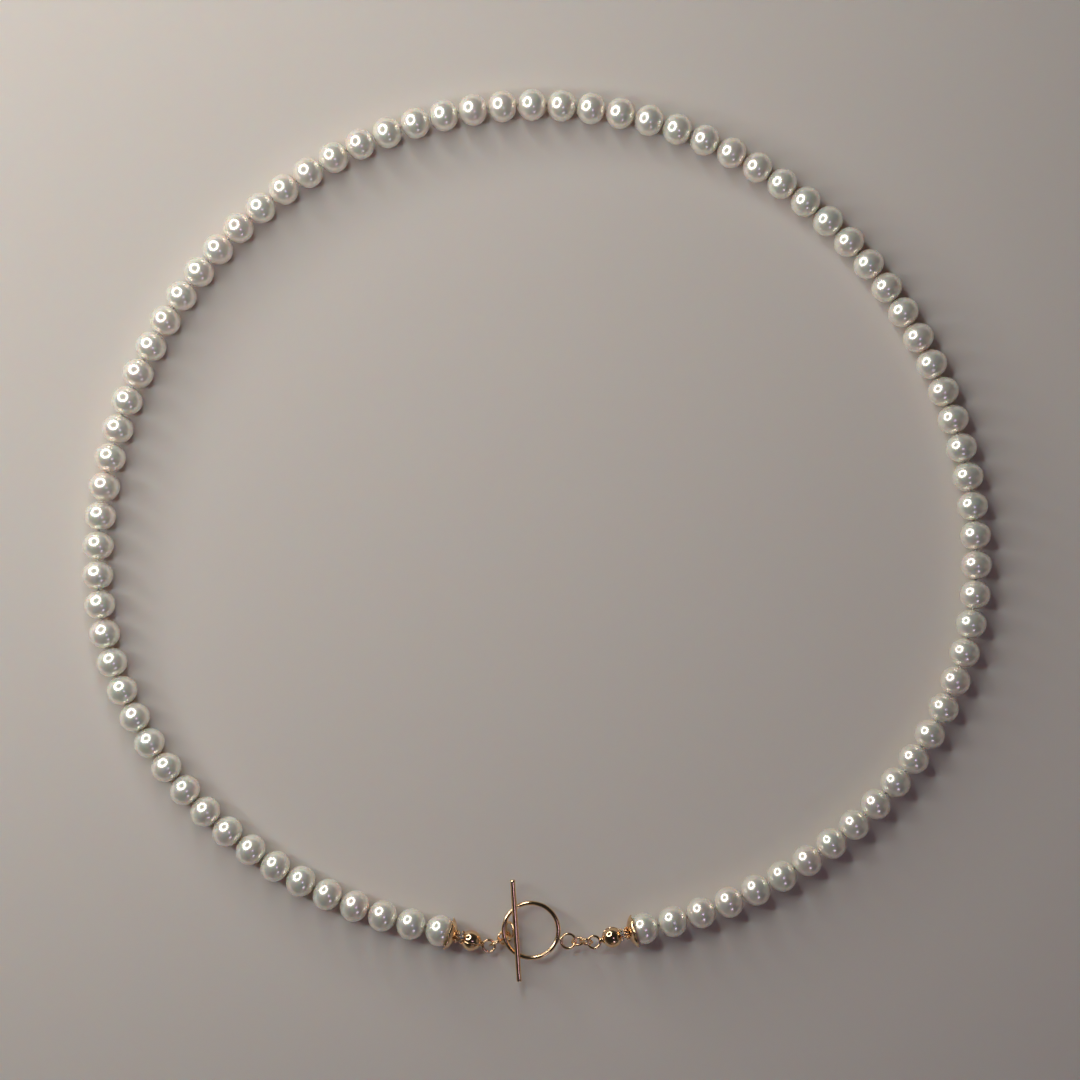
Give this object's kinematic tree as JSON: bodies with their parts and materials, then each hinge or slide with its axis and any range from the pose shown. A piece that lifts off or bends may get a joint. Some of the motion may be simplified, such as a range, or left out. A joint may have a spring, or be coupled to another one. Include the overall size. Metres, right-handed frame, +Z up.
{
  "type": "pearl necklace",
  "caption": "Single strand of small near-round pearls on beading wire, closed by a bar-and-ring toggle clasp, lying flat.",
  "frame": {"origin": "on the surface that the pearls rest on, under the middle of the outline", "axes": "+Z up; +Y from the clasp towards the middle of the strand; +X to the right with the clasp nearest"},
  "size_m": [0.1378, 0.135, 0.0052],
  "materials": {
    "pearl": "pearl nacre lustre",
    "gold": "polished yellow gold",
    "wire": "fine stranded beading wire"
  },
  "bodies": {
    "pearl_top": {"pearl_top": "pearl", "stringing_wire": "wire"},
    "pearl_pair_left_01": {"pearl_pair_left_01": "pearl"},
    "pearl_pair_left_02": {"pearl_pair_left_02": "pearl"},
    "pearl_pair_left_03": {"pearl_pair_left_03": "pearl"},
    "pearl_pair_left_04": {"pearl_pair_left_04": "pearl"},
    "pearl_pair_left_05": {"pearl_pair_left_05": "pearl"},
    "pearl_pair_left_06": {"pearl_pair_left_06": "pearl"},
    "pearl_pair_left_07": {"pearl_pair_left_07": "pearl"},
    "pearl_pair_left_08": {"pearl_pair_left_08": "pearl"},
    "pearl_pair_left_09": {"pearl_pair_left_09": "pearl"},
    "pearl_pair_left_10": {"pearl_pair_left_10": "pearl"},
    "pearl_pair_left_11": {"pearl_pair_left_11": "pearl"},
    "pearl_pair_left_12": {"pearl_pair_left_12": "pearl"},
    "pearl_pair_left_13": {"pearl_pair_left_13": "pearl"},
    "pearl_pair_left_14": {"pearl_pair_left_14": "pearl"},
    "pearl_pair_left_15": {"pearl_pair_left_15": "pearl"},
    "pearl_pair_left_16": {"pearl_pair_left_16": "pearl"},
    "pearl_pair_left_17": {"pearl_pair_left_17": "pearl"},
    "pearl_pair_left_18": {"pearl_pair_left_18": "pearl"},
    "pearl_pair_left_19": {"pearl_pair_left_19": "pearl"},
    "pearl_pair_left_20": {"pearl_pair_left_20": "pearl"},
    "pearl_left_21": {"pearl_left_21": "pearl"},
    "pearl_left_22": {"pearl_left_22": "pearl"},
    "tip_left": {"bead_tip_left": "gold", "crimp_bead_left": "gold"},
    "pearl_pair_right_01": {"pearl_pair_right_01": "pearl"},
    "pearl_pair_right_02": {"pearl_pair_right_02": "pearl"},
    "pearl_pair_right_03": {"pearl_pair_right_03": "pearl"},
    "pearl_pair_right_04": {"pearl_pair_right_04": "pearl"},
    "pearl_pair_right_05": {"pearl_pair_right_05": "pearl"},
    "pearl_pair_right_06": {"pearl_pair_right_06": "pearl"},
    "pearl_pair_right_07": {"pearl_pair_right_07": "pearl"},
    "pearl_pair_right_08": {"pearl_pair_right_08": "pearl"},
    "pearl_pair_right_09": {"pearl_pair_right_09": "pearl"},
    "pearl_pair_right_10": {"pearl_pair_right_10": "pearl"},
    "pearl_pair_right_11": {"pearl_pair_right_11": "pearl"},
    "pearl_pair_right_12": {"pearl_pair_right_12": "pearl"},
    "pearl_pair_right_13": {"pearl_pair_right_13": "pearl"},
    "pearl_pair_right_14": {"pearl_pair_right_14": "pearl"},
    "pearl_pair_right_15": {"pearl_pair_right_15": "pearl"},
    "pearl_pair_right_16": {"pearl_pair_right_16": "pearl"},
    "pearl_pair_right_17": {"pearl_pair_right_17": "pearl"},
    "pearl_pair_right_18": {"pearl_pair_right_18": "pearl"},
    "pearl_pair_right_19": {"pearl_pair_right_19": "pearl"},
    "pearl_pair_right_20": {"pearl_pair_right_20": "pearl"},
    "pearl_right_21": {"pearl_right_21": "pearl"},
    "pearl_right_22": {"pearl_right_22": "pearl"},
    "tip_right": {"bead_tip_right": "gold", "crimp_bead_right": "gold"},
    "cap_left": {"bead_cap_left": "gold"},
    "cap_right": {"bead_cap_right": "gold"},
    "jump_ring_right_1": {"jump_ring_right_1": "gold"},
    "jump_ring_right_2": {"jump_ring_right_2": "gold"},
    "jump_ring_left_1": {"jump_ring_left_1": "gold"},
    "jump_ring_left_2": {"jump_ring_left_2": "gold"},
    "toggle_ring": {"toggle_ring": "gold", "toggle_ring_loop": "gold"},
    "toggle_bar": {"toggle_bar": "gold", "toggle_bar_loop": "gold"}
  },
  "joints": [
    {"name": "strand_squeeze", "type": "hinge", "parent": "pearl_top", "child": "pearl_pair_left_01", "pos_m": [-0.00302, 0.06499, 0.0024], "axis": [0, 0, 1], "range_deg": [0, 11], "deforming": ["stringing_wire"]},
    {"name": "bend_left_02", "type": "hinge", "parent": "pearl_pair_left_01", "child": "pearl_pair_left_02", "pos_m": [-0.01191, 0.06394, 0.0024], "axis": [0, 0, 1], "range_deg": [0, 6.64]},
    {"name": "bend_left_03", "type": "hinge", "parent": "pearl_pair_left_02", "child": "pearl_pair_left_03", "pos_m": [-0.02056, 0.06164, 0.0024], "axis": [0, 0, 1], "range_deg": [0, 7.32]},
    {"name": "bend_left_04", "type": "hinge", "parent": "pearl_pair_left_03", "child": "pearl_pair_left_04", "pos_m": [-0.02881, 0.05816, 0.0024], "axis": [0, 0, 1], "range_deg": [0, 6.64]},
    {"name": "bend_left_05", "type": "hinge", "parent": "pearl_pair_left_04", "child": "pearl_pair_left_05", "pos_m": [-0.0365, 0.05358, 0.0024], "axis": [0, 0, 1], "range_deg": [0, 3.87]},
    {"name": "strand_fold", "type": "hinge", "parent": "pearl_pair_left_05", "child": "pearl_pair_left_06", "pos_m": [-0.04351, 0.048, 0.0024], "axis": [0.9999, 0.0118, 0], "range_deg": [-18, 0]},
    {"name": "bend_left_07", "type": "hinge", "parent": "pearl_pair_left_06", "child": "pearl_pair_left_07", "pos_m": [-0.04972, 0.04155, 0.0024], "axis": [0, 0, 1], "range_deg": [-3.62, 0]},
    {"name": "bend_left_08", "type": "hinge", "parent": "pearl_pair_left_07", "child": "pearl_pair_left_08", "pos_m": [-0.05504, 0.03435, 0.0024], "axis": [0, 0, 1], "range_deg": [-6.11, 0]},
    {"name": "bend_left_09", "type": "hinge", "parent": "pearl_pair_left_08", "child": "pearl_pair_left_09", "pos_m": [-0.0594, 0.02652, 0.0024], "axis": [0, 0, 1], "range_deg": [-7.89, 0]},
    {"name": "fold_left_10", "type": "hinge", "parent": "pearl_pair_left_09", "child": "pearl_pair_left_10", "pos_m": [-0.06275, 0.01822, 0.0024], "axis": [0.9999, 0.0116, 0], "range_deg": [-18, 0]},
    {"name": "bend_left_11", "type": "hinge", "parent": "pearl_pair_left_10", "child": "pearl_pair_left_11", "pos_m": [-0.06505, 0.00956, 0.0024], "axis": [0, 0, 1], "range_deg": [-10.69, 0]},
    {"name": "bend_left_12", "type": "hinge", "parent": "pearl_pair_left_11", "child": "pearl_pair_left_12", "pos_m": [-0.06627, 0.00069, 0.0024], "axis": [0, 0, 1], "range_deg": [-11.81, 0]},
    {"name": "bend_left_13", "type": "hinge", "parent": "pearl_pair_left_12", "child": "pearl_pair_left_13", "pos_m": [-0.06634, -0.00826, 0.0024], "axis": [0, 0, 1], "range_deg": [-12.42, 0]},
    {"name": "fold_left_14", "type": "hinge", "parent": "pearl_pair_left_13", "child": "pearl_pair_left_14", "pos_m": [-0.06488, -0.01709, 0.0024], "axis": [0.9999, 0.0114, 0], "range_deg": [-18, 0]},
    {"name": "bend_left_15", "type": "hinge", "parent": "pearl_pair_left_14", "child": "pearl_pair_left_15", "pos_m": [-0.06185, -0.0255, 0.0024], "axis": [0, 0, 1], "range_deg": [-8.47, 0]},
    {"name": "bend_left_16", "type": "hinge", "parent": "pearl_pair_left_15", "child": "pearl_pair_left_16", "pos_m": [-0.0574, -0.03326, 0.0024], "axis": [0, 0, 1], "range_deg": [-4.63, 0]},
    {"name": "fold_left_17", "type": "hinge", "parent": "pearl_pair_left_16", "child": "pearl_pair_left_17", "pos_m": [-0.05175, -0.04021, 0.0024], "axis": [0.9999, 0.0107, 0], "range_deg": [-18, 0]},
    {"name": "fold_left_18", "type": "hinge", "parent": "pearl_pair_left_17", "child": "pearl_pair_left_18", "pos_m": [-0.04512, -0.04622, 0.0024], "axis": [0.9999, 0.0105, 0], "range_deg": [-18, 0]},
    {"name": "bend_left_19", "type": "hinge", "parent": "pearl_pair_left_18", "child": "pearl_pair_left_19", "pos_m": [-0.0377, -0.05124, 0.0024], "axis": [0, 0, 1], "range_deg": [0, 3.87]},
    {"name": "bend_left_20", "type": "hinge", "parent": "pearl_pair_left_19", "child": "pearl_pair_left_20", "pos_m": [-0.02969, -0.05524, 0.00244], "axis": [0, 0, 1], "range_deg": [0, 6.28]},
    {"name": "fold_left_21", "type": "hinge", "parent": "pearl_pair_left_20", "child": "pearl_left_21", "pos_m": [-0.02124, -0.05821, 0.00258], "axis": [1, 0.0099, 0], "range_deg": [-18, 0]},
    {"name": "bend_left_22", "type": "hinge", "parent": "pearl_left_21", "child": "pearl_left_22", "pos_m": [-0.0169, -0.05932, 0.00265], "axis": [0, 0, 1], "range_deg": [0, 10.59]},
    {"name": "bend_left_23", "type": "hinge", "parent": "pearl_left_22", "child": "tip_left", "pos_m": [-0.01229, -0.06059, 0.00268], "axis": [0, 0, 1], "range_deg": [0, 11.49]},
    {"name": "bend_right_01", "type": "hinge", "parent": "pearl_top", "child": "pearl_pair_right_01", "pos_m": [0.00146, 0.06505, 0.0024], "axis": [0, 0, 1], "range_deg": [-5.82, 0]},
    {"name": "bend_right_02", "type": "hinge", "parent": "pearl_pair_right_01", "child": "pearl_pair_right_02", "pos_m": [0.01037, 0.0642, 0.0024], "axis": [0, 0, 1], "range_deg": [-6.97, 0]},
    {"name": "bend_right_03", "type": "hinge", "parent": "pearl_pair_right_02", "child": "pearl_pair_right_03", "pos_m": [0.01908, 0.06212, 0.0024], "axis": [0, 0, 1], "range_deg": [-7.7, 0]},
    {"name": "bend_right_04", "type": "hinge", "parent": "pearl_pair_right_03", "child": "pearl_pair_right_04", "pos_m": [0.02741, 0.05883, 0.0024], "axis": [0, 0, 1], "range_deg": [-7.02, 0]},
    {"name": "bend_right_05", "type": "hinge", "parent": "pearl_pair_right_04", "child": "pearl_pair_right_05", "pos_m": [0.03521, 0.05443, 0.0024], "axis": [0, 0, 1], "range_deg": [-4.2, 0]},
    {"name": "fold_right_06", "type": "hinge", "parent": "pearl_pair_right_05", "child": "pearl_pair_right_06", "pos_m": [0.04234, 0.04902, 0.0024], "axis": [0.9999, 0.0118, 0], "range_deg": [-18, 0]},
    {"name": "bend_right_07", "type": "hinge", "parent": "pearl_pair_right_06", "child": "pearl_pair_right_07", "pos_m": [0.04869, 0.04271, 0.0024], "axis": [0, 0, 1], "range_deg": [0, 3.17]},
    {"name": "bend_right_08", "type": "hinge", "parent": "pearl_pair_right_07", "child": "pearl_pair_right_08", "pos_m": [0.05417, 0.03562, 0.0024], "axis": [0, 0, 1], "range_deg": [0, 5.65]},
    {"name": "bend_right_09", "type": "hinge", "parent": "pearl_pair_right_08", "child": "pearl_pair_right_09", "pos_m": [0.0587, 0.0279, 0.0024], "axis": [0, 0, 1], "range_deg": [0, 7.52]},
    {"name": "fold_right_10", "type": "hinge", "parent": "pearl_pair_right_09", "child": "pearl_pair_right_10", "pos_m": [0.06222, 0.01966, 0.0024], "axis": [0.9999, 0.0116, 0], "range_deg": [-18, 0]},
    {"name": "bend_right_11", "type": "hinge", "parent": "pearl_pair_right_10", "child": "pearl_pair_right_11", "pos_m": [0.0647, 0.01106, 0.0024], "axis": [0, 0, 1], "range_deg": [0, 10.57]},
    {"name": "bend_right_12", "type": "hinge", "parent": "pearl_pair_right_11", "child": "pearl_pair_right_12", "pos_m": [0.06611, 0.00221, 0.0024], "axis": [0, 0, 1], "range_deg": [0, 11.8]},
    {"name": "bend_right_13", "type": "hinge", "parent": "pearl_pair_right_12", "child": "pearl_pair_right_13", "pos_m": [0.0664, -0.00674, 0.0024], "axis": [0, 0, 1], "range_deg": [0, 12.5]},
    {"name": "fold_right_14", "type": "hinge", "parent": "pearl_pair_right_13", "child": "pearl_pair_right_14", "pos_m": [0.06522, -0.0156, 0.0024], "axis": [0.9999, 0.0114, 0], "range_deg": [-18, 0]},
    {"name": "bend_right_15", "type": "hinge", "parent": "pearl_pair_right_14", "child": "pearl_pair_right_15", "pos_m": [0.06244, -0.0241, 0.0024], "axis": [0, 0, 1], "range_deg": [0, 9.02]},
    {"name": "bend_right_16", "type": "hinge", "parent": "pearl_pair_right_15", "child": "pearl_pair_right_16", "pos_m": [0.05822, -0.03199, 0.0024], "axis": [0, 0, 1], "range_deg": [0, 5.34]},
    {"name": "fold_right_17", "type": "hinge", "parent": "pearl_pair_right_16", "child": "pearl_pair_right_17", "pos_m": [0.05276, -0.03908, 0.0024], "axis": [0.9999, 0.0107, 0], "range_deg": [-18, 0]},
    {"name": "fold_right_18", "type": "hinge", "parent": "pearl_pair_right_17", "child": "pearl_pair_right_18", "pos_m": [0.04628, -0.04526, 0.0024], "axis": [0.9999, 0.0105, 0], "range_deg": [-18, 0]},
    {"name": "bend_right_19", "type": "hinge", "parent": "pearl_pair_right_18", "child": "pearl_pair_right_19", "pos_m": [0.03899, -0.05045, 0.0024], "axis": [0, 0, 1], "range_deg": [-3.31, 0]},
    {"name": "bend_right_20", "type": "hinge", "parent": "pearl_pair_right_19", "child": "pearl_pair_right_20", "pos_m": [0.03107, -0.05463, 0.00244], "axis": [0, 0, 1], "range_deg": [-5.91, 0]},
    {"name": "fold_right_21", "type": "hinge", "parent": "pearl_pair_right_20", "child": "pearl_right_21", "pos_m": [0.02268, -0.05778, 0.00258], "axis": [1, 0.0099, 0], "range_deg": [-18, 0]},
    {"name": "bend_right_22", "type": "hinge", "parent": "pearl_right_21", "child": "pearl_right_22", "pos_m": [0.01836, -0.05897, 0.00265], "axis": [0, 0, 1], "range_deg": [-10.71, 0]},
    {"name": "bend_right_23", "type": "hinge", "parent": "pearl_right_22", "child": "tip_right", "pos_m": [0.01372, -0.06016, 0.00268], "axis": [0, 0, 1], "range_deg": [-11.87, 0]},
    {"name": "cap_spin_left", "type": "hinge", "parent": "pearl_left_22", "child": "cap_left", "pos_m": [-0.01471, -0.0598, 0.00268], "axis": [0.9511, -0.309, 0], "continuous": true},
    {"name": "cap_spin_right", "type": "hinge", "parent": "pearl_right_22", "child": "cap_right", "pos_m": [0.01619, -0.0595, 0.00268], "axis": [-0.9659, -0.2588, 0], "continuous": true},
    {"name": "jump_ring_right_1_roll", "type": "hinge", "parent": "tip_right", "child": "jump_ring_right_1", "pos_m": [0.00744, -0.06151, 0.00239], "axis": [0.9848, -0.0186, 0.1728], "range_deg": [-20, 20]},
    {"name": "jump_ring_right_2_roll", "type": "hinge", "parent": "tip_right", "child": "jump_ring_right_2", "pos_m": [0.00622, -0.06149, 0.0021], "axis": [0.9848, -0.0186, 0.1728], "range_deg": [-20, 20]},
    {"name": "jump_ring_left_1_roll", "type": "hinge", "parent": "tip_left", "child": "jump_ring_left_1", "pos_m": [-0.00625, -0.06171, 0.00136], "axis": [0.8359, 0.4251, -0.3472], "range_deg": [-20, 20]},
    {"name": "jump_ring_left_2_roll", "type": "hinge", "parent": "tip_left", "child": "jump_ring_left_2", "pos_m": [-0.00495, -0.06102, 0.00081], "axis": [0.7497, 0.6609, -0.0354], "range_deg": [-20, 20]},
    {"name": "toggle_ring_swing", "type": "hinge", "parent": "tip_right", "child": "toggle_ring", "pos_m": [0.00473, -0.06146, 0.002], "axis": [0, 0, 1], "range_deg": [-4, 2]},
    {"name": "toggle_bar_turn", "type": "hinge", "parent": "tip_left", "child": "toggle_bar", "pos_m": [-0.00456, -0.06044, 0.00104], "axis": [0, 0, 1], "range_deg": [-25, 14]}
  ],
  "couplings": [
    {"joint": "bend_left_02", "follows": "strand_squeeze", "ratio": 0.6037},
    {"joint": "bend_left_03", "follows": "strand_squeeze", "ratio": 0.66496},
    {"joint": "bend_left_04", "follows": "strand_squeeze", "ratio": 0.6038},
    {"joint": "bend_left_05", "follows": "strand_squeeze", "ratio": 0.35194},
    {"joint": "bend_left_07", "follows": "strand_squeeze", "ratio": -0.32889},
    {"joint": "bend_left_08", "follows": "strand_squeeze", "ratio": -0.55582},
    {"joint": "bend_left_09", "follows": "strand_squeeze", "ratio": -0.7175},
    {"joint": "fold_left_10", "follows": "strand_fold", "ratio": 1},
    {"joint": "bend_left_11", "follows": "strand_squeeze", "ratio": -0.9719},
    {"joint": "bend_left_12", "follows": "strand_squeeze", "ratio": -1.0738},
    {"joint": "bend_left_13", "follows": "strand_squeeze", "ratio": -1.1293},
    {"joint": "fold_left_14", "follows": "strand_fold", "ratio": 1},
    {"joint": "bend_left_15", "follows": "strand_squeeze", "ratio": -0.76973},
    {"joint": "bend_left_16", "follows": "strand_squeeze", "ratio": -0.42129},
    {"joint": "fold_left_17", "follows": "strand_fold", "ratio": 1},
    {"joint": "fold_left_18", "follows": "strand_fold", "ratio": 1},
    {"joint": "bend_left_19", "follows": "strand_squeeze", "ratio": 0.35209},
    {"joint": "bend_left_20", "follows": "strand_squeeze", "ratio": 0.5705},
    {"joint": "fold_left_21", "follows": "strand_fold", "ratio": 1},
    {"joint": "bend_left_22", "follows": "strand_squeeze", "ratio": 0.96266},
    {"joint": "bend_left_23", "follows": "strand_squeeze", "ratio": 1.0449},
    {"joint": "bend_right_01", "follows": "strand_squeeze", "ratio": -0.52915},
    {"joint": "bend_right_02", "follows": "strand_squeeze", "ratio": -0.63352},
    {"joint": "bend_right_03", "follows": "strand_squeeze", "ratio": -0.69952},
    {"joint": "bend_right_04", "follows": "strand_squeeze", "ratio": -0.63839},
    {"joint": "bend_right_05", "follows": "strand_squeeze", "ratio": -0.38193},
    {"joint": "fold_right_06", "follows": "strand_fold", "ratio": 1},
    {"joint": "bend_right_07", "follows": "strand_squeeze", "ratio": 0.28854},
    {"joint": "bend_right_08", "follows": "strand_squeeze", "ratio": 0.51371},
    {"joint": "bend_right_09", "follows": "strand_squeeze", "ratio": 0.68316},
    {"joint": "fold_right_10", "follows": "strand_fold", "ratio": 1},
    {"joint": "bend_right_11", "follows": "strand_squeeze", "ratio": 0.96054},
    {"joint": "bend_right_12", "follows": "strand_squeeze", "ratio": 1.0727},
    {"joint": "bend_right_13", "follows": "strand_squeeze", "ratio": 1.1364},
    {"joint": "fold_right_14", "follows": "strand_fold", "ratio": 1},
    {"joint": "bend_right_15", "follows": "strand_squeeze", "ratio": 0.81986},
    {"joint": "bend_right_16", "follows": "strand_squeeze", "ratio": 0.48551},
    {"joint": "fold_right_17", "follows": "strand_fold", "ratio": 1},
    {"joint": "fold_right_18", "follows": "strand_fold", "ratio": 1},
    {"joint": "bend_right_19", "follows": "strand_squeeze", "ratio": -0.30088},
    {"joint": "bend_right_20", "follows": "strand_squeeze", "ratio": -0.53763},
    {"joint": "fold_right_21", "follows": "strand_fold", "ratio": 1},
    {"joint": "bend_right_22", "follows": "strand_squeeze", "ratio": -0.97365},
    {"joint": "bend_right_23", "follows": "strand_squeeze", "ratio": -1.0794}
  ]
}
